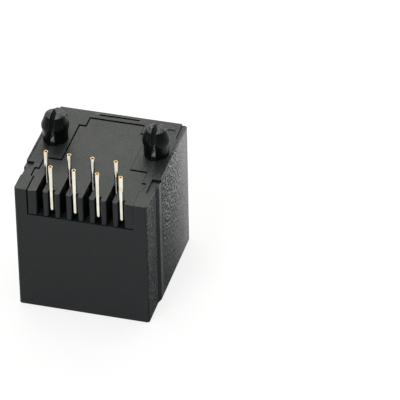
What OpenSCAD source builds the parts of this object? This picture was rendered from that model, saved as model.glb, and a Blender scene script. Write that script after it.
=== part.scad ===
// Top-entry modular jack for a printed board: eight contacts, no shield, split board pegs.
// It is drawn board side up. X runs across the jack, Y from the contact side to the latch side,
// and Z from the mouth, where the plug goes in, up to the board face. The origin is the middle
// of the mouth face. Depths into the jack are given from its contact face.

/* [Housing] */
// Width across the two side faces
body_w = 14.85; // [14.6:0.05:18]
// Depth from the contact face to the latch face
body_d = 15.6; // [15.5:0.1:19]
// Height from the mouth to the board face
body_h = 15.25; // [15:0.05:19]
// Radius of the upright corners
corner_r = 0.3; // [0.15:0.05:0.4]
// How far the side strips stand back from the side faces
strip_t = 0.18; // [0.1:0.01:0.25]
// Depth of the side strips, from the contact face to the side groove
strip_d = 3.55; // [3:0.05:3.8]
// Width of the groove down each side, which slopes out to the side face
groove_w = 0.65; // [0.4:0.05:1]
// Depth of the groove below the side strip
groove_t = 0.07; // [0.04:0.01:0.1]
// Width of the plain ridge behind each side groove
ridge_w = 0.85; // [0.6:0.05:1.2]
// Width of the fine line behind the ridge, which runs out toward the mouth
line_w = 0.16; // [0.08:0.02:0.2]
// Depth of the fine line at the board end
line_t = 0.14; // [0.06:0.01:0.2]
// Start of the shallow pockets in the side walls' board ends, from the contact face
pocket_start = 2.5; // [2:0.1:2.8]
// Length of the shallow pockets
pocket_d = 2.55; // [2:0.05:2.8]
// Width of the shallow pockets, in from the side faces
pocket_w = 0.95; // [0.6:0.05:1.1]
// Depth of the shallow pockets below the board face
pocket_t = 0.25; // [0.15:0.05:0.4]
// Length of the steps at the latch side corners of the board face
step_d = 2.85; // [2:0.05:3.4]
// Width of the corner steps
step_w = 0.6; // [0.4:0.05:0.8]
// Depth of the corner steps below the board face
step_t = 0.24; // [0.15:0.01:0.4]
// Length of the fine slot in the latch wall's board end
relief_w = 4.5; // [3:0.1:5.5]
// Width of the fine slot
relief_t = 0.3; // [0.15:0.05:0.35]
// Thickness of the wall left behind the fine slot
relief_wall = 0.4; // [0.3:0.05:0.6]
// Depth of the fine slot
relief_h = 0.4; // [0.2:0.05:0.8]
// Diameter of the round marks that the ejector pins leave in the board face
mark_d = 1; // [0.8:0.1:1.1]
// Distance between the two ejector marks
mark_pitch = 12; // [11.4:0.1:12.2]
// Depth from the contact face to the ejector marks
mark_row = 13.8; // [13.4:0.1:14]
// Depth of the ejector marks below the board face
mark_t = 0.08; // [0.04:0.01:0.15]

/* [Plug cavity] */
// Width of the plug cavity
cavity_w = 11.9; // [11.8:0.05:12.1]
// Thickness of the plug cavity, from the contact side toward the latch side
cavity_t = 7.3; // [7.2:0.05:7.5]
// Depth from the contact face to the plug cavity
contact_wall = 4.4; // [4.3:0.05:4.6]
// Thickness of the outer wall in front of the insert's tongue
outer_wall = 1.5; // [1.2:0.1:1.7]
// How far the lead-in at the mouth widens the cavity on each side
lead_side = 0.15; // [0.1:0.05:0.25]
// How far the lead-in widens the cavity toward the contact face
lead_front = 0.45; // [0.2:0.05:0.6]
// Depth of the lead-in
lead_h = 0.5; // [0.3:0.1:1]
// Depth of the two recesses in the cavity's side walls
recess_t = 0.35; // [0.2:0.05:0.4]
// Start of the side recesses, past the cavity's contact side
recess_start = 2.15; // [1.8:0.05:2.4]
// Width of the side recesses
recess_d = 3.15; // [2.8:0.05:3.4]
// Height of the side recesses above the mouth
recess_h = 8; // [6:0.5:10]
// Width of the latch keyway
key_w = 6.3; // [6:0.1:6.4]
// Depth of the keyway's first step
key_t = 1.6; // [1.4:0.05:1.7]
// Width of the keyway's second step
latch_w = 4.25; // [4.1:0.05:4.6]
// Depth of the keyway's second step
latch_t = 1.05; // [0.9:0.05:1.1]
// Height of the stepped lip that a plug's latch catches behind
catch_h = 1.6; // [1.2:0.1:2]
// Height of the lip below the insert's tongue
lip_h = 3.1; // [2.6:0.1:3.4]

/* [Insert] */
// Height of the comb window in the contact face
window_h = 3.2; // [3.1:0.05:3.5]
// Width of the insert's comb at the contact face
comb_w = 11.45; // [11.4:0.05:11.8]
// Width across the snap ribs on the insert's sides
rib_w = 12.1; // [12:0.05:12.4]
// Start of the snap ribs, from the contact face
rib_start = 2.6; // [2.4:0.05:2.8]
// Length of the snap ribs
rib_d = 1.3; // [1:0.05:1.6]
// Width of the insert behind the ribs
shelf_w = 11.2; // [11:0.05:11.35]
// Depth from the contact face to the back of the shelf
shelf_end = 5.95; // [5.8:0.05:6.2]
// Width of the panel that closes the cavity's board end
panel_w = 7.5; // [7.2:0.05:7.8]
// Depth from the contact face to the back of the panel
panel_end = 12.55; // [12.3:0.05:12.7]
// Thickness of the panel, and of the pads beside it
panel_t = 2.2; // [1.8:0.1:2.4]
// Width of the panel's tab over the keyway
tab_w = 6; // [5.6:0.1:6.1]
// Depth from the contact face to the end of the tab
tab_end = 14.1; // [13.8:0.05:14.2]
// Gap beside the insert at +X
side_gap = 0.03; // [0.02:0.01:0.1]
// How much wider the gap is at -X, because the insert sits toward +X in its bay
sit = 0.12; // [0:0.01:0.15]
// Gap in front of the insert's ribs
front_gap = 0.04; // [0.02:0.01:0.1]
// Gap behind the insert
back_gap = 0.28; // [0.1:0.02:0.3]
// Gap between the comb and the window's sill
sill_gap = 0.1; // [0.02:0.02:0.2]
// How far the comb stands back from the contact face
comb_inset = 0.04; // [0:0.01:0.1]
// Width of the comb's slots
slot_w = 0.7; // [0.6:0.02:0.74]
// Size of the flare at the slots' mouths
slot_flare = 0.1; // [0.05:0.01:0.16]
// Width of the grooves that hold the wires
wire_groove_w = 0.56; // [0.52:0.02:0.62]
// Thickness of the guide fins beside the contacts' free ends
fin_t = 0.4; // [0.3:0.02:0.44]
// Length of the guide fins
fin_d = 2.2; // [1.8:0.1:2.6]
// Height of the guide fins below the panel
fin_h = 2.1; // [1.8:0.1:2.4]

/* [Contacts] */
// Diameter of the contact wire
wire_d = 0.46; // [0.4:0.01:0.48]
// Pitch of the solder tails across the jack, both rows counted
tail_pitch = 1.27; // [1.2:0.01:1.3]
// Depth from the contact face to the front row of tails
front_row = 0.37; // [0.35:0.01:0.45]
// Distance between the two rows of tails
row_pitch = 2.54; // [2.4:0.02:2.54]
// Length of the tails above the board face
tail_h = 3.2; // [2.5:0.1:4]
// Pitch of the contacts in the cavity
contact_pitch = 1.02; // [1:0.01:1.06]
// Distance from the cavity's contact side back to the wires in the tongue
wire_back = 0.5; // [0.45:0.01:0.55]
// Height from the window's sill to the wires that cross it
cross_h = 0.7; // [0.6:0.05:0.8]
// Height over which the wires close up from the tail pitch to the contact pitch
fan_h = 2.6; // [2:0.1:3.5]
// Radius of the turn at the mouth end of each contact
turn_r = 0.6; // [0.5:0.05:0.7]
// Height of the turn's centre above the mouth
turn_h = 4.98; // [4.9:0.02:5.3]
// Angle by which the spring legs lean toward the latch side
lean = 26.5; // [24:0.5:28]
// Overlap of the free ends with the guide fins
end_overlap = 0.7; // [0.5:0.1:1]

/* [Board pegs] */
// Distance between the two pegs
peg_pitch = 11.2; // [11:0.05:11.5]
// Depth from the contact face to the pegs' axes
peg_row = 9.8; // [9.4:0.05:10.2]
// Diameter of the shank
peg_d = 2.76; // [2.6:0.02:2.84]
// Diameter of the barb
barb_d = 3; // [2.9:0.02:3.2]
// Height of the shank below the barb
shank_h = 1.1; // [0.9:0.05:1.2]
// Height of the barb's widest band above the board face
barb_h = 1.6; // [1.4:0.05:1.8]
// Length of the barb's widest band
band_h = 0.3; // [0.2:0.05:0.4]
// Diameter at the foot of the peg's cap
cap_d = 2.1; // [1.9:0.05:2.4]
// Height of the foot of the cap
cap_h = 3.1; // [2.8:0.05:3.2]
// Diameter of the peg's flat tip
tip_d = 1; // [0.7:0.05:1.4]
// Height of the peg
peg_h = 3.38; // [3.3:0.02:4]
// Width of the slot that splits the peg
split_w = 0.55; // [0.4:0.05:0.6]
// Height of the slot's rounded floor above the board face
split_h = 0.95; // [0.6:0.05:1.1]
// Radius of the slot's rounded floor
split_r = 1.5; // [1.4:0.05:2]
// Diameter of the small pocket at the front of each peg's foot
foot_d = 1.5; // [1:0.1:2]
// How far that pocket reaches out past the shank
foot_t = 0.2; // [0.1:0.05:0.3]
// Depth of that pocket below the board face
foot_h = 0.3; // [0.1:0.05:0.5]

/* [Hidden] */
$fn = 48;
contacts = 8;
over = 1;                                    // how far a cut runs past the face that it opens
fit = 0.02;                                  // clearance between a wire and its groove

housing_black = "#33363a";
insert_black = "#3c3e40";
plated_wire = "#d9d2bf";

contact_face = -body_d / 2;
side_face = body_w / 2;
wire_r = wire_d / 2;

cavity_end = contact_wall + cavity_t;        // the cavity's latch side
key_end = cavity_end + key_t;
latch_end = key_end + latch_t;
sill_z = body_h - window_h;                  // the comb window's sill
panel_z = body_h - panel_t;                  // the underside of the panel and the pads
comb_foot = sill_z + sill_gap;

back_row = front_row + row_pitch;
run_y = contact_wall - wire_back;            // the wires' depth in the tongue
jog_r = (run_y - back_row) / 2;              // two quarter turns carry the back row to run_y
cross_z = sill_z + cross_h;
fan_top = cross_z - jog_r;
fan_foot = fan_top - fan_h;
fin_z = panel_z - fin_h;
leg_start_z = turn_h - turn_r * sin(lean);
leg_l = (fin_z + end_overlap - leg_start_z) / cos(lean);
leg_end_y = run_y + turn_r + turn_r * cos(lean) + leg_l * sin(lean);

// Contacts 1, 3, 5 and 7 have their tails in the back row, the others in the front row.
function tail_x(i) = (i - (contacts - 1) / 2) * tail_pitch;
function contact_x(i) = (i - (contacts - 1) / 2) * contact_pitch;
function tail_y(i) = i % 2 == 0 ? back_row : front_row;

// A box from one corner to the opposite one, with depths counted from the contact face
module block(low, high) {
    translate([low.x, contact_face + low.y, low.z]) cube(high - low);
}

// An outline drawn in X and Z, carried from one depth to another
module across(start, end) {
    translate([0, contact_face + end, 0]) rotate([90, 0, 0]) linear_extrude(end - start) children();
}

module both_sides() {
    children();
    mirror([1, 0, 0]) children();
}

// ---- housing ----

// The block stands back beside the side strips, and its four upright corners are round
module outer_block() {
    strip_face = side_face - strip_t;
    block([-strip_face + corner_r, 0, 0], [strip_face - corner_r, strip_d, body_h]);
    block([-strip_face, corner_r, 0], [strip_face, strip_d, body_h]);
    block([-side_face, strip_d, 0], [side_face, body_d - corner_r, body_h]);
    block([-side_face + corner_r, strip_d, 0], [side_face - corner_r, body_d, body_h]);
    both_sides() {
        translate([strip_face - corner_r, contact_face + corner_r, 0]) cylinder(r = corner_r, h = body_h);
        translate([side_face - corner_r, -contact_face - corner_r, 0]) cylinder(r = corner_r, h = body_h);
    }
}

// The groove behind each strip, sheer at the strip and sloping out to the side face
module side_groove() {
    floor_x = side_face - strip_t - groove_t;
    translate([0, contact_face, -over]) linear_extrude(body_h + 2 * over) polygon([
        [floor_x, strip_d - groove_t], [side_face, strip_d + groove_w], [side_face + over, strip_d + groove_w],
        [side_face + over, strip_d - groove_t]
    ]);
}

// The fine line behind the ridge, whose depth runs out toward the mouth
module side_line() {
    start = strip_d + groove_w + ridge_w;
    across(start, start + line_w) polygon([
        [side_face, 0], [side_face - line_t, body_h], [side_face - line_t, body_h + over],
        [side_face + over, body_h + over], [side_face + over, 0]
    ]);
}

module side_relief() {
    side_groove();
    side_line();
    block([side_face - pocket_w, pocket_start, body_h - pocket_t],
          [side_face + over, pocket_start + pocket_d, body_h + over]);
    block([side_face - step_w, body_d - step_d, body_h - step_t],
          [side_face + over, body_d + over, body_h + over]);
    translate([mark_pitch / 2, contact_face + mark_row, body_h - mark_t])
        cylinder(d = mark_d, h = mark_t + over);
}

// The lead-in: where a trapezium seen from the contact side meets one seen from the side
module lead_in() {
    half = cavity_w / 2;
    front = contact_face + contact_wall;
    intersection() {
        across(0, cavity_end) polygon([
            [-half - lead_side, -over], [-half - lead_side, 0], [-half, lead_h],
            [half, lead_h], [half + lead_side, 0], [half + lead_side, -over]
        ]);
        translate([-body_w / 2, 0, 0]) rotate([90, 0, 90]) linear_extrude(body_w) polygon([
            [front - lead_front, -over], [front - lead_front, 0], [front, lead_h],
            [contact_face + cavity_end, lead_h], [contact_face + cavity_end, -over]
        ]);
    }
}

module plug_cavity() {
    half = cavity_w / 2;
    block([-half, contact_wall, -over], [half, cavity_end, panel_z]);
    lead_in();
    block([-half - recess_t, contact_wall + recess_start, -over],
          [half + recess_t, contact_wall + recess_start + recess_d, recess_h]);
    block([-key_w / 2, contact_wall, -over], [key_w / 2, key_end, catch_h + over]);
    block([-latch_w / 2, contact_wall, -over], [latch_w / 2, latch_end, catch_h + over]);
    block([-key_w / 2, contact_wall, catch_h], [key_w / 2, latch_end, panel_z]);
}

module peg() {
    rotate_extrude() polygon([
        [0, -panel_t / 2], [peg_d / 2, -panel_t / 2], [peg_d / 2, shank_h], [barb_d / 2, barb_h],
        [barb_d / 2, barb_h + band_h], [cap_d / 2, cap_h], [tip_d / 2, peg_h], [0, peg_h]
    ]);
}

module at_peg() {
    translate([peg_pitch / 2, contact_face + peg_row, body_h]) children();
}

// The slot through a peg; its floor is round, so it runs out at the front and back of the foot
module peg_split() {
    difference() {
        translate([-split_w / 2, -barb_d / 2 - fit, 0]) cube([split_w, barb_d + 2 * fit, peg_h + over]);
        translate([-split_w, 0, split_h - split_r]) rotate([0, 90, 0]) cylinder(r = split_r, h = 2 * split_w);
    }
}

// The small pocket in the board face at the front of a peg's foot
module foot_pocket() {
    translate([0, (foot_d - peg_d) / 2 - foot_t, -foot_h]) cylinder(d = foot_d, h = foot_h + over);
}

module housing() color(housing_black) difference() {
    union() {
        difference() {
            outer_block();
            both_sides() at_peg() foot_pocket();
        }
        both_sides() at_peg() peg();
    }
    plug_cavity();
    // the bay for the insert: its tongue below the sill, its plan above
    block([-cavity_w / 2, outer_wall, lip_h], [cavity_w / 2, contact_wall + over, sill_z + over]);
    translate([-sit / 2, contact_face, sill_z]) linear_extrude(window_h + over)
        polygon(shelf_plan(side_gap + sit / 2, front_gap, back_gap, -over));
    translate([-sit / 2, contact_face, panel_z - over]) linear_extrude(panel_t + 2 * over)
        polygon(panel_plan(side_gap + sit / 2, back_gap));
    both_sides() side_relief();
    block([-relief_w / 2, body_d - relief_wall - relief_t, body_h - relief_h],
          [relief_w / 2, body_d - relief_wall, body_h + over]);
    both_sides() at_peg() peg_split();
}

// ---- insert ----

function mirrored(half) = concat(half, [for (i = [len(half) - 1:-1:0]) [-half[i].x, half[i].y]]);

// Plan of the shelf with its snap ribs; the gaps are zero for the insert and open the housing's bay
function shelf_plan(side, front, back, start) = mirrored([
    [comb_w / 2 + side, start], [comb_w / 2 + side, rib_start - front],
    [rib_w / 2 + side, rib_start - front], [rib_w / 2 + side, rib_start + rib_d + back],
    [shelf_w / 2 + side, rib_start + rib_d + back], [shelf_w / 2 + side, shelf_end + back]
]);

// Plan of the panel and its tab, from under the shelf to the keyway
function panel_plan(side, back) = mirrored([
    [panel_w / 2 + side, contact_wall], [panel_w / 2 + side, panel_end + back],
    [tab_w / 2 + side, panel_end + back], [tab_w / 2 + side, tab_end + back]
]);

// A slot in the comb, flared where it opens in the contact face
module comb_slot(end) {
    half = slot_w / 2;
    translate([0, contact_face, sill_z - over]) linear_extrude(window_h + 2 * over) polygon([
        [-half - slot_flare, -over], [-half - slot_flare, comb_inset],
        [-half, comb_inset + slot_flare], [-half, end], [half, end], [half, comb_inset + slot_flare],
        [half + slot_flare, comb_inset], [half + slot_flare, -over]
    ]);
}

// The groove that holds one wire at the contact pitch, down to the tongue's open end
module wire_groove(i) {
    half = wire_groove_w / 2;
    block([contact_x(i) - half, run_y - wire_r - fit, lip_h - over],
          [contact_x(i) + half, contact_wall + over, fan_foot + fit]);
}

// The window in which the wires close up from the tail pitch to the contact pitch
module fan_window() {
    half = tail_x(contacts - 1) + wire_groove_w / 2;
    block([-half, run_y - wire_r - fit, fan_foot], [half, contact_wall + over, fan_top]);
}

// The channel under the shelf that carries one wire from its tail to the tongue
module cross_channel(i) {
    half = wire_groove_w / 2;
    block([tail_x(i) - half, tail_y(i) - half, sill_z - over],
          [tail_x(i) + half, run_y + half, cross_z + half]);
}

// A fin between two contacts' free ends
module guide_fin() {
    block([-fin_t / 2, leg_end_y - fin_d / 2, fin_z],
          [fin_t / 2, leg_end_y + fin_d / 2, panel_z + fit]);
}

module insert() color(insert_black) difference() {
    union() {
        translate([0, contact_face, comb_foot]) linear_extrude(window_h - sill_gap)
            polygon(shelf_plan(0, 0, 0, comb_inset));
        translate([0, contact_face, panel_z]) linear_extrude(panel_t) polygon(panel_plan(0, 0));
        // the tongue that carries the wires down the contact side, seated on the housing's lip
        block([-shelf_w / 2, outer_wall + fit, lip_h], [shelf_w / 2, contact_wall, comb_foot + fit]);
        for (i = [1:contacts - 1])
            translate([(i - contacts / 2) * contact_pitch, 0, 0]) guide_fin();
    }
    fan_window();
    for (i = [0:contacts - 1]) {
        translate([tail_x(i), 0, 0]) comb_slot(tail_y(i) + slot_w / 2);
        cross_channel(i);
        wire_groove(i);
    }
}

// ---- contacts ----

// Straight wire from one point to another, given in the jack's own frame
module wire(a, b) {
    v = b - a;
    translate(a) rotate([0, acos(v.z / norm(v)), atan2(v.y, v.x)]) cylinder(r = wire_r, h = norm(v));
}

// An arc of wire about the origin, drawn in X and Y
module arc(radius, from, to) {
    rotate([0, 0, from]) rotate_extrude(angle = to - from) translate([radius, 0]) circle(r = wire_r);
}

// A turn in the Y-Z plane about a centre, between two angles counted from +Y toward +Z
module turn(centre, radius, from, to) {
    translate(centre) rotate([90, 0, 90]) arc(radius, from, to);
}

// A slight bend between two straights, a hair fuller than the wire
module bend(at) {
    translate(at) sphere(r = wire_r + fit / 2);
}

module contact(i) color(plated_wire) {
    a = tail_x(i);
    b = contact_x(i);
    tail = contact_face + tail_y(i);
    run = contact_face + run_y;
    tail_foot = cross_z + jog_r;
    translate([a, tail, tail_foot]) cylinder(r = wire_r, h = body_h + tail_h - tail_foot);
    turn([a, tail + jog_r, tail_foot], jog_r, 180, 270);
    if (tail_y(i) < back_row)
        wire([a, tail + jog_r, cross_z], [a, run - jog_r, cross_z]);
    turn([a, run - jog_r, fan_top], jog_r, 0, 90);
    bend([a, run, fan_top]);
    wire([a, run, fan_top], [b, run, fan_foot]);
    bend([b, run, fan_foot]);
    wire([b, run, fan_foot], [b, run, turn_h]);
    turn([b, run + turn_r, turn_h], turn_r, 180, 360 - lean);
    wire([b, run + turn_r * (1 + cos(lean)), leg_start_z],
         [b, contact_face + leg_end_y, fin_z + end_overlap]);
}

housing();
insert();
for (i = [0:contacts - 1])
    contact(i);
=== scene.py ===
import math

import bmesh
import bpy
from mathutils import Matrix, Vector


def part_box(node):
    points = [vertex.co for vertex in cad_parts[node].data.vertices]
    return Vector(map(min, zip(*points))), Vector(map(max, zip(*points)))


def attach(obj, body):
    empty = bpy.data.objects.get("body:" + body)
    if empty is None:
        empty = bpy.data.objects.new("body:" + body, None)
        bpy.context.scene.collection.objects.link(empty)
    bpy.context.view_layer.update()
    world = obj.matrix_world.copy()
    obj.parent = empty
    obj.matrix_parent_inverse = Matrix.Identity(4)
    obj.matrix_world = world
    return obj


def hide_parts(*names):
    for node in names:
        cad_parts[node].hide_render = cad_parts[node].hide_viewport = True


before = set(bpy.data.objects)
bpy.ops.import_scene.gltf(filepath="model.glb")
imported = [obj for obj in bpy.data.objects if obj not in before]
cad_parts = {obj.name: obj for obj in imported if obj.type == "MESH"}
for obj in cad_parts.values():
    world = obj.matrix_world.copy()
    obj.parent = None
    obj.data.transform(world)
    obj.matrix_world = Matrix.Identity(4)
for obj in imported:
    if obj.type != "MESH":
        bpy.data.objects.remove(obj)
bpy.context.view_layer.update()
mm = 0.001
bodyLow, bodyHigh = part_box("housing")
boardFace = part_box("insert")[1].z      # the housing's own top is that of its pegs
print("frame loaded:", len(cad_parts), "nodes")

# three quarters from the contact side, board face up; angles are in degrees
camera = {
    "lens": 335.8,
    "sensor": 36,
    "clip": (0.01, 10),
    "distance": 400 * mm,
    "aim": (0.03 * mm, -0.8 * mm, 7.5 * mm),
    "turn": 15.83,         # round from the contact face toward +X
    "rise": 36.31,
    "roll": -0.99,
    "right": 10.616 * mm,  # the camera slides right and up, so the jack stands left of the middle
    "up": 2.007 * mm,
}


def towards(turn, rise):
    turn, rise = math.radians(turn), math.radians(rise)
    return Vector((math.sin(turn) * math.cos(rise), -math.cos(turn) * math.cos(rise),
                   math.sin(rise)))


def placeCamera(settings):
    back = towards(settings["turn"], settings["rise"])
    turn, roll = math.radians(settings["turn"]), math.radians(settings["roll"])
    level = Vector((math.cos(turn), math.sin(turn), 0))
    upright = back.cross(level)
    right = level * math.cos(roll) + upright * math.sin(roll)
    up = upright * math.cos(roll) - level * math.sin(roll)
    data = bpy.data.cameras.new("camera")
    data.lens = settings["lens"]
    data.sensor_width = settings["sensor"]
    data.clip_start, data.clip_end = settings["clip"]
    obj = bpy.data.objects.new("camera", data)
    place = (Vector(settings["aim"]) + back * settings["distance"]
             + right * settings["right"] + up * settings["up"])
    obj.matrix_world = Matrix.Translation(place) @ Matrix((right, up, back)).transposed().to_4x4()
    bpy.context.scene.collection.objects.link(obj)
    bpy.context.scene.camera = obj


placeCamera(camera)
print("camera placed")


# short ways to the nodes that the plastic, the wire and the floor share
def newMaterial(name):
    material = bpy.data.materials.new(name)
    material.use_nodes = True
    tree = material.node_tree
    return material, tree, tree.nodes["Principled BSDF"]


def node(tree, kind, **values):
    made = tree.nodes.new(kind)
    for key, value in values.items():
        if key in made.inputs:
            made.inputs[key].default_value = value
        else:
            setattr(made, key, value)
    return made


def objectPlace(tree):
    return node(tree, "ShaderNodeTexCoord").outputs["Object"]


def axes(tree, where):
    split = node(tree, "ShaderNodeSeparateXYZ")
    tree.links.new(where, split.inputs[0])
    return split.outputs


def stretched(tree, where, scale):
    made = node(tree, "ShaderNodeMapping")
    made.inputs["Scale"].default_value = scale
    tree.links.new(where, made.inputs["Vector"])
    return made.outputs[0]


def noise(tree, where, scale, detail=3.0, roughness=0.5):
    made = node(tree, "ShaderNodeTexNoise", Scale=scale, Detail=detail, Roughness=roughness)
    tree.links.new(where, made.inputs["Vector"])
    return made.outputs["Fac"]


def remap(tree, value, low, high, outLow, outHigh, smooth=False):
    made = node(tree, "ShaderNodeMapRange")
    if smooth:
        made.interpolation_type = "SMOOTHSTEP"
    for index, number in enumerate((low, high, outLow, outHigh), start=1):
        made.inputs[index].default_value = number
    tree.links.new(value, made.inputs[0])
    return made.outputs[0]


def maths(tree, kind, a, b):
    made = node(tree, "ShaderNodeMath", operation=kind)
    for socket, value in zip(made.inputs, (a, b)):
        if isinstance(value, (int, float)):
            socket.default_value = value
        else:
            tree.links.new(value, socket)
    return made.outputs[0]


def add(tree, a, b):
    return maths(tree, "ADD", a, b)


def times(tree, a, b):
    return maths(tree, "MULTIPLY", a, b)


def larger(tree, a, b):
    return maths(tree, "MAXIMUM", a, b)


def blendColour(tree, factor, first, second):
    made = node(tree, "ShaderNodeMix", data_type="RGBA")
    made.inputs[6].default_value = (*first, 1)
    made.inputs[7].default_value = (*second, 1)
    tree.links.new(factor, made.inputs[0])
    return made.outputs[2]


def bump(tree, shader, height, strength):
    made = node(tree, "ShaderNodeBump", Strength=strength, Distance=1.0)
    tree.links.new(height, made.inputs["Height"])
    tree.links.new(made.outputs[0], shader.inputs["Normal"])


middleSpan = (0.3, 0.7)      # most of a noise's values lie in here
narrowSpan = (0.35, 0.65)    # a narrower span gives harder patches

# moulded black plastic; grains and clouds are in cycles per metre
plastic = {
    "dark": (0.0015, 0.0032, 0.0042),
    "light": (0.0076, 0.0103, 0.0116),
    "specular": 0.28,
    "roughness": (0.36, 0.46),
    "clouds": 420,
    "cloudShade": 0.3,
    "paintedShadeByHeight": 0.7,       # painted shade: the colour darkens toward the mouth, standing in for the shade near the floor
    "palestFrom": 0.8,        # where the painted shade gives way to the full colour, as a share of the body's height
    "fineGrain": 4000,
    "fineHeight": 0.03 * mm,
    "fineMatt": 0.15,
    "sparkGrain": 4300,       # the coarser grain of the side faces
    "sparkStretch": 0.75,     # it is drawn out along the jack's depth
    "sparkHeight": 0.18 * mm,
    "sparkMatt": 0.55,
    "stripShare": 0.4,        # how much of it the front strip has
    "capShare": 0.3,          # and the pegs' caps
}

# the pegs' flanks: a darker, less glossy copy of the same plastic, painted shade standing in for
# the dark surroundings they reflect
shadedPegPlastic = dict(plastic, dark=(0.003, 0.0036, 0.004), light=(0.005, 0.0058, 0.006),
                  specular=0.10, roughness=(0.22, 0.32), fineHeight=0.005 * mm)
capPlastic = dict(plastic, specular=0.58, sparkHeight=0.25 * mm)
smoothEdge = dict(plastic, specular=0.5, roughness=(0.26, 0.32), fineHeight=0.004 * mm,
                  fineMatt=0.05)

# how the side faces change; depths run from the contact face toward the latch side
sideZones = {
    "face": (0.3 * mm, 0.24 * mm),         # inward from the body's widest point
    "stripEnd": (3.45 * mm, 3.6 * mm),
    "grooveEnd": (4.15 * mm, 4.3 * mm),
    "grainStart": (5.35 * mm, 5.5 * mm),   # just behind the fine line
    "grainFade": (7 * mm, 1 * mm),         # from this depth to this far before the rear
    "rearShare": 0.2,
    "grainRise": (0.2, 0.75),              # it also fades toward the mouth, by share of height
    "lowShare": 0.35,
    "capStart": (0.6 * mm, 0.8 * mm),      # above the board face
    "mattByHeight": (0.22, -0.08),         # added roughness, at the mouth and at the board face
    "mattByDepth": (0.26, -0.34),          # behind the fine line and at the rear
    "mattGroove": 0.5,
    "mattStrip": 0.28,
}


def sideFinish(tree, where, place, settings, zones):
    across, back, up = place

    def overDepth(limits, first, last):
        near, far = (bodyLow.y + limit for limit in limits)
        return remap(tree, back, near, far, first, last, True)

    atSide = remap(tree, maths(tree, "ABSOLUTE", across, 0), bodyHigh.x - zones["face"][0],
                   bodyHigh.x - zones["face"][1], 0, 1, True)
    behindLine = overDepth(zones["grainStart"], 0, 1)
    onStrip = overDepth(zones["stripEnd"], 1, 0)
    pastGroove = overDepth(zones["grooveEnd"], 0, 1)
    inGroove = maths(tree, "SUBTRACT", 1, larger(tree, onStrip, pastGroove))

    # the share of the coarse grain that each place has
    low, high = (share * boardFace for share in zones["grainRise"])
    rising = remap(tree, up, low, high, zones["lowShare"], 1, True)
    fading = remap(tree, back, bodyLow.y + zones["grainFade"][0],
                   bodyHigh.y - zones["grainFade"][1], 1, zones["rearShare"], True)
    sideShare = times(tree, behindLine, times(tree, rising, fading))
    share = times(tree, atSide, add(tree, sideShare, times(tree, onStrip, settings["stripShare"])))
    capLow, capHigh = (boardFace + limit for limit in zones["capStart"])
    share = larger(tree, share, remap(tree, up, capLow, capHigh, 0, settings["capShare"]))

    spark = noise(tree, stretched(tree, where, (1, settings["sparkStretch"], 1)),
                  settings["sparkGrain"], detail=1.5)
    height = times(tree, times(tree, spark, settings["sparkHeight"]), share)
    matt = settings["sparkMatt"]
    speckle = times(tree, remap(tree, spark, *narrowSpan, matt, -matt), share)

    byHeight = remap(tree, up, 0, boardFace, *zones["mattByHeight"])
    byDepth = remap(tree, back, bodyLow.y + zones["grainStart"][1], bodyHigh.y,
                    *zones["mattByDepth"])
    sideMatt = add(tree, byHeight, times(tree, byDepth, behindLine))
    frontMatt = add(tree, times(tree, inGroove, zones["mattGroove"]),
                    times(tree, onStrip, zones["mattStrip"]))
    return height, times(tree, add(tree, sideMatt, frontMatt), atSide), speckle


def mouldedPlastic(name, settings, grainedSides):
    material, tree, shader = newMaterial(name)
    where = objectPlace(tree)
    place = axes(tree, where)
    cloud = noise(tree, where, settings["clouds"], detail=4, roughness=0.55)
    fine = noise(tree, where, settings["fineGrain"], roughness=0.6)
    # the colour mixes random clouds of tone with painted shade that darkens toward the mouth
    toneAndPaintedShade = add(tree, remap(tree, cloud, *middleSpan, 0, settings["cloudShade"]),
                remap(tree, place[2], 0, settings["palestFrom"] * boardFace,
                      0, settings["paintedShadeByHeight"]))
    tree.links.new(blendColour(tree, toneAndPaintedShade, settings["dark"], settings["light"]),
                   shader.inputs["Base Color"])
    matt = settings["fineMatt"] / 2
    rough = add(tree, remap(tree, cloud, *middleSpan, *settings["roughness"]),
                remap(tree, fine, *middleSpan, -matt, matt))
    height = times(tree, fine, settings["fineHeight"])
    if grainedSides:
        grain, sideMatt, speckle = sideFinish(tree, where, place, settings, sideZones)
        height = add(tree, height, grain)
        rough = add(tree, add(tree, rough, sideMatt), speckle)
    tree.links.new(rough, shader.inputs["Roughness"])
    bump(tree, shader, height, 1.0)
    shader.inputs["Specular IOR Level"].default_value = settings["specular"]
    return material


# plated wire, drawn lengthways
wire = {
    "plating": (0.90, 0.88, 0.79),
    "plated": (0.74, 0.70, 0.58),
    "clouds": 900,
    "roughness": (0.03, 0.08),
    "drawLines": 9000,
    "drawStretch": 0.06,
    "drawHeight": 0.0003 * mm,
    "drawStrength": 0.5,
}

# bare metal at the sheared ends of the tails: a bright rim round a dark core
shearedEnd = {
    "rim": (0.83, 0.55, 0.26),
    "rimRoughness": 0.25,
    "core": (0.10, 0.055, 0.03),
    "coreRoughness": 0.5,
    "clouds": 9000,
    "cloudDarker": 0.6,
    "cloudMatt": 0.15,
}


def platedWire(name, settings):
    material, tree, shader = newMaterial(name)
    where = objectPlace(tree)
    streak = noise(tree, stretched(tree, where, (1, 1, settings["drawStretch"])),
                   settings["drawLines"], detail=2)
    cloud = noise(tree, where, settings["clouds"])
    plating = blendColour(tree, remap(tree, cloud, *narrowSpan, 0, 1),
                          settings["plated"], settings["plating"])
    tree.links.new(plating, shader.inputs["Base Color"])
    tree.links.new(remap(tree, cloud, *middleSpan, *settings["roughness"]),
                   shader.inputs["Roughness"])
    shader.inputs["Metallic"].default_value = 1
    bump(tree, shader, times(tree, streak, settings["drawHeight"]), settings["drawStrength"])
    return material


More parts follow.
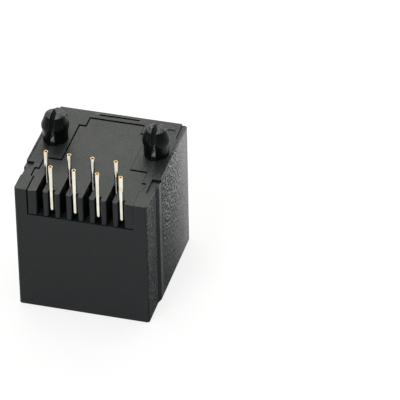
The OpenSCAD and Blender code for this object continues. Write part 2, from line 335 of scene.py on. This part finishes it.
def cutMetal(name, colour, rough, settings):
    material, tree, shader = newMaterial(name)
    cloud = noise(tree, objectPlace(tree), settings["clouds"], roughness=0.6)
    darker = tuple(c * settings["cloudDarker"] for c in colour)
    tree.links.new(blendColour(tree, remap(tree, cloud, *narrowSpan, 0, 1), darker, colour),
                   shader.inputs["Base Color"])
    tree.links.new(remap(tree, cloud, *middleSpan, rough, rough + settings["cloudMatt"]),
                   shader.inputs["Roughness"])
    shader.inputs["Metallic"].default_value = 1
    return material


housingPlastic = mouldedPlastic("housingPlastic", plastic, True)
insertPlastic = mouldedPlastic("insertPlastic", plastic, False)
# painted shade: the pegs' flanks are darker than the rest of the moulding
shadedPegSides = mouldedPlastic("shadedPegSides", shadedPegPlastic, False)
pegCaps = mouldedPlastic("pegCaps", capPlastic, True)
edgePlastic = mouldedPlastic("edgePlastic", smoothEdge, False)
wireMetal = platedWire("wireMetal", wire)
rimMetal = cutMetal("rimMetal", shearedEnd["rim"], shearedEnd["rimRoughness"], shearedEnd)
coreMetal = cutMetal("coreMetal", shearedEnd["core"], shearedEnd["coreRoughness"], shearedEnd)
print("materials made")

# the moulded pieces are copies of the CAD nodes with their sharp edges rounded
rounding = {
    "mergeWithin": 0.0005 * mm,
    "flatWithin": math.radians(0.5),
    "sharperThan": math.radians(35),
    "smoothBelow": math.radians(32),
    "segments": 3,
}

housingEdges = {
    "radius": 0.07 * mm,
    "seamRadius": 0.02 * mm,
    "slotRadius": 0.04 * mm,
    "capRadius": 0.02 * mm,
    "shortest": 0.3 * mm,
    "pegFoot": 0.3 * mm,                   # the pegs' edges below this height stay sharp
    "uprightShare": 0.3,                   # an edge that rises by more of its length is a slot's
    "capSlope": 0.6,                       # a peg's face that looks up by more is its cap's
    "windowHeight": 3.2 * mm,
    "sill": (0.05 * mm, 0.1 * mm),         # how near the window's foot and the contact face
    "bayMargin": 0.6 * mm,                 # edges of the insert's bay lie at least this far in
    "tightFrom": 3.6 * mm,                 # the insert sits tight against its bay on this side
    "tightMargin": 1 * mm,
    "levels": (bodyLow.z, boardFace),      # short pieces of an arc are rounded too at these heights
    "fineLine": (4.9 * mm, 5.4 * mm),      # the side faces' fine line and groove stay crisp
    "groove": (3.4 * mm, 3.6 * mm),
    "lineDepth": 0.16 * mm,
    "grooveDepth": 0.32 * mm,
}

insertEdges = {
    "radius": 0.02 * mm,
    "frontRadius": 0.08 * mm,
    "frontDepth": 0.2 * mm,
    "shelfSide": 5.5 * mm,
    "panelSide": 3.7 * mm,
    "shelfEnd": 5.9 * mm,
    "tongueTop": 8 * mm,
    "shortest": 0.06 * mm,
}


def mergedCopy(nodeName):
    made = bmesh.new()
    made.from_mesh(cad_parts[nodeName].data)
    bmesh.ops.remove_doubles(made, verts=made.verts, dist=rounding["mergeWithin"])
    return made


def joinFlats(made):
    bmesh.ops.dissolve_limit(made, angle_limit=rounding["flatWithin"], verts=made.verts,
                             edges=made.edges, use_dissolve_boundaries=False, delimit=set())


def outerEdges(made):
    return [edge for edge in made.edges
            if edge.is_manifold and edge.calc_face_angle_signed(0) > rounding["sharperThan"]]


def roundEdges(made, chosen, radius, slot):
    rounded = bmesh.ops.bevel(made, geom=[e for e in chosen if e.is_valid], offset=radius,
                              offset_type="OFFSET", affect="EDGES", segments=rounding["segments"],
                              profile=0.5, material=-1, clamp_overlap=False)
    for face in rounded["faces"]:
        face.material_index = slot


def finishPiece(made, name, materials, replaced):
    for face in made.faces:
        face.smooth = True
    for edge in made.edges:
        edge.smooth = edge.is_manifold and edge.calc_face_angle(0) < rounding["smoothBelow"]
    mesh = bpy.data.meshes.new(name)
    made.to_mesh(mesh)
    made.free()
    for material in materials:
        mesh.materials.append(material)
    obj = bpy.data.objects.new(name, mesh)
    bpy.context.scene.collection.objects.link(obj)
    flat = obj.modifiers.new("flatFaces", "WEIGHTED_NORMAL")
    flat.keep_sharp = True
    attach(obj, "root")
    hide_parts(replaced)


def atHeight(point, height):
    return abs(point.z - height) < 0.001 * mm


def onPeg(point):
    return point.z > boardFace + 0.01 * mm


def housingGroup(edge, settings):
    first, second = (vert.co for vert in edge.verts)
    middle = (first + second) / 2
    depth = middle.y - bodyLow.y
    inward = bodyHigh.x - abs(middle.x)
    if onPeg(middle):
        if min(first.z, second.z) <= boardFace + settings["pegFoot"]:
            return None
        rise = abs(first.z - second.z)
        upright = rise > settings["uprightShare"] * (first - second).length
        return "slot" if upright else "cap"
    for limits, reach in (("fineLine", "lineDepth"), ("groove", "grooveDepth")):
        near, far = settings[limits]
        if near < depth < far and inward < settings[reach]:
            return None
    level = abs(first.z - second.z) < 0.0001 * mm
    arcPiece = level and any(atHeight(first, height) for height in settings["levels"])
    if edge.calc_length() <= settings["shortest"] and not arcPiece:
        return None
    sillHeight = boardFace - settings["windowHeight"]
    onSill = abs(middle.z - sillHeight) < settings["sill"][0] and depth < settings["sill"][1]
    inBay = (inward > settings["bayMargin"] and bodyHigh.y - middle.y > settings["bayMargin"]
             and atHeight(middle, boardFace))
    alongDepth = abs(first.y - second.y) > abs(first.x - second.x)
    tightSide = middle.x > settings["tightFrom"] and inward > settings["tightMargin"]
    if inBay and alongDepth and tightSide:
        return None
    return "seam" if inBay or onSill else "outer"


def makeHousing(settings):
    made = mergedCopy("housing")
    joinFlats(made)
    groups = {"slot": [], "cap": [], "seam": [], "outer": []}
    for edge in outerEdges(made):
        group = housingGroup(edge, settings)
        if group:
            groups[group].append(edge)
    body, flank, rounded, cap = range(4)      # places in the piece's list of materials
    # the pegs' flanks get the darker copy of the plastic, which is painted shade
    for face in made.faces:
        if onPeg(face.calc_center_median()):
            face.material_index = flank if face.normal.z < settings["capSlope"] else cap
    roundEdges(made, groups["slot"], settings["slotRadius"], rounded)
    roundEdges(made, groups["cap"], settings["capRadius"], rounded)
    roundEdges(made, groups["seam"], settings["seamRadius"], body)
    roundEdges(made, groups["outer"], settings["radius"], rounded)
    finishPiece(made, "mouldedHousing", [housingPlastic, shadedPegSides, edgePlastic, pegCaps],
                "housing")


def behindShelf(point, settings):
    return point.y - bodyLow.y > settings["shelfEnd"]


def buried(edge, settings):
    middle = (edge.verts[0].co + edge.verts[1].co) / 2
    below = middle.z < boardFace - 0.001 * mm
    return settings["tongueTop"] < middle.z and below and behindShelf(middle, settings)


def tightSeam(edge, settings):
    first, second = (vert.co for vert in edge.verts)
    middle = (first + second) / 2
    acrossJack = abs(first.y - second.y) < abs(first.x - second.x)
    if acrossJack or not atHeight(middle, boardFace):
        return False
    besidePanel = middle.x > settings["panelSide"] and behindShelf(middle, settings)
    return middle.x > settings["shelfSide"] or besidePanel


def onFrontTop(edge, settings):
    front = bodyLow.y + settings["frontDepth"]
    return all(atHeight(vert.co, boardFace) and vert.co.y < front for vert in edge.verts)


def makeInsert(settings):
    made = mergedCopy("insert")
    joinFlats(made)
    chosen = [edge for edge in outerEdges(made) if edge.calc_length() > settings["shortest"]
              and not tightSeam(edge, settings) and not buried(edge, settings)]
    frontTop = [edge for edge in chosen if onFrontTop(edge, settings)]
    others = [edge for edge in chosen if edge not in frontTop]
    body, rounded = range(2)
    roundEdges(made, frontTop, settings["frontRadius"], rounded)
    roundEdges(made, others, settings["radius"], body)
    finishPiece(made, "mouldedInsert", [insertPlastic, edgePlastic], "insert")


makeHousing(housingEdges)
makeInsert(insertEdges)
print("housing and insert rounded")

# the end of each tail is sheared: a rounded rim and a slightly sunk core
tailEnd = {
    "rimRadius": 0.03 * mm,
    "rimWidth": 0.055 * mm,
    "coreSink": 0.02 * mm,
}


def makeContact(number, settings):
    nodeName = "contact_%d" % number
    made = mergedCopy(nodeName)
    joinFlats(made)
    made.faces.ensure_lookup_table()
    end = max(made.faces, key=lambda face: face.calc_center_median().z + face.normal.z)
    endHeight = end.calc_center_median().z
    bmesh.ops.bevel(made, geom=list(end.edges), offset=settings["rimRadius"],
                    offset_type="OFFSET", affect="EDGES", segments=rounding["segments"],
                    profile=0.5, material=-1)
    end = max((face for face in made.faces if face.normal.z > 0.99),
              key=lambda face: face.calc_center_median().z)
    bmesh.ops.inset_individual(made, faces=[end], thickness=settings["rimWidth"],
                               depth=-settings["coreSink"])
    rim, core = 1, 2
    rimFoot = endHeight - settings["rimRadius"] * 1.01      # a hair below the rounding
    for face in made.faces:
        if face.calc_center_median().z > rimFoot and face.normal.z > -0.5:
            face.material_index = rim
    end.material_index = core
    finishPiece(made, "wire%d" % number, [wireMetal, rimMetal, coreMetal],
                nodeName)


for number in range(1, 9):
    makeContact(number, tailEnd)
print("contacts finished")

# pale floor and plain soft light
studio = {
    "floorSize": 1.5,
    "floorColour": (0.8, 0.8, 0.8),
    "floorRoughness": 0.9,
    "floorDrop": 0.02 * mm,
    "floorGlow": 0.76,
    "glowMargin": 1 * mm,          # the floor glows up to this far under the jack's edge
    "ambient": 0.28,
    "ambientColour": (0.94, 1.0, 1.03),
}

# turn and rise as for the camera, width and height in metres
lampDistance = 0.4
lamps = {
    "backLight": {"turn": 196, "rise": 40, "width": 0.40, "height": 0.28,
                  "radiance": 2.8, "colour": (1.0, 0.99, 0.90)},
    "topLight": {"turn": 196, "rise": 86, "width": 0.40, "height": 0.24,
                 "radiance": 3.6, "colour": (1.0, 1.0, 0.95)},
    "edgeLight": {"turn": -20, "rise": 50, "width": 0.11, "height": 0.11,
                  "radiance": 16, "colour": (1.0, 1.0, 0.98)},
    "sideLight": {"turn": 141, "rise": 15, "width": 0.20, "height": 0.12,
                  "radiance": 6.0, "colour": (1.0, 1.0, 0.98)},
}


def whenSeen(tree):
    path = node(tree, "ShaderNodeLightPath")
    seen = larger(tree, path.outputs["Is Camera Ray"], path.outputs["Is Glossy Ray"])
    return larger(tree, seen, path.outputs["Is Transmission Ray"])


def outsideJack(tree, margin):
    across, along, up = axes(tree, objectPlace(tree))
    beside = maths(tree, "GREATER_THAN", maths(tree, "ABSOLUTE", across, 0), bodyHigh.x - margin)
    before = maths(tree, "GREATER_THAN", maths(tree, "ABSOLUTE", along, 0), bodyHigh.y - margin)
    return larger(tree, beside, before)


def mixShaders(tree, factor, first, second):
    made = node(tree, "ShaderNodeMixShader")
    for socket, source in zip(made.inputs, (factor, first, second)):
        tree.links.new(source, socket)
    return made.outputs[0]


def makeFloor(settings):
    made = bmesh.new()
    bmesh.ops.create_grid(made, x_segments=1, y_segments=1, size=settings["floorSize"])
    mesh = bpy.data.meshes.new("floor")
    made.to_mesh(mesh)
    made.free()
    obj = bpy.data.objects.new("floor", mesh)
    bpy.context.scene.collection.objects.link(obj)
    material, tree, shader = newMaterial("paper")
    shader.inputs["Base Color"].default_value = (*settings["floorColour"], 1)
    shader.inputs["Roughness"].default_value = settings["floorRoughness"]
    shader.inputs["Specular IOR Level"].default_value = 0
    glow = node(tree, "ShaderNodeEmission", Strength=1.0).outputs[0]
    glowing = times(tree, whenSeen(tree), outsideJack(tree, settings["glowMargin"]))
    paper = mixShaders(tree, times(tree, glowing, settings["floorGlow"]), shader.outputs[0], glow)
    fromBelow = node(tree, "ShaderNodeNewGeometry").outputs["Backfacing"]
    clear = node(tree, "ShaderNodeBsdfTransparent").outputs[0]      # so the mouth can be looked at
    tree.links.new(mixShaders(tree, fromBelow, paper, clear),
                   tree.nodes["Material Output"].inputs["Surface"])
    mesh.materials.append(material)
    obj.location.z = -settings["floorDrop"]


def makeWorld(settings):
    world = bpy.data.worlds.new("world")
    bpy.context.scene.world = world
    world.use_nodes = True
    background = world.node_tree.nodes["Background"]
    background.inputs["Color"].default_value = (*settings["ambientColour"], 1)
    background.inputs["Strength"].default_value = settings["ambient"]


def softbox(name, settings):
    place = towards(settings["turn"], settings["rise"]) * lampDistance
    width, height = settings["width"], settings["height"]
    data = bpy.data.lights.new(name, "AREA")
    data.shape = "RECTANGLE"
    data.size, data.size_y = width, height
    data.energy = settings["radiance"] * width * height * math.pi
    data.color = settings["colour"]
    obj = bpy.data.objects.new(name, data)
    obj.rotation_euler = place.to_track_quat("Z", "Y").to_euler()
    obj.location = place
    bpy.context.scene.collection.objects.link(obj)


makeFloor(studio)
makeWorld(studio)
for name, settings in lamps.items():
    softbox(name, settings)
bpy.context.scene.view_settings.view_transform = "Standard"
print("studio set")
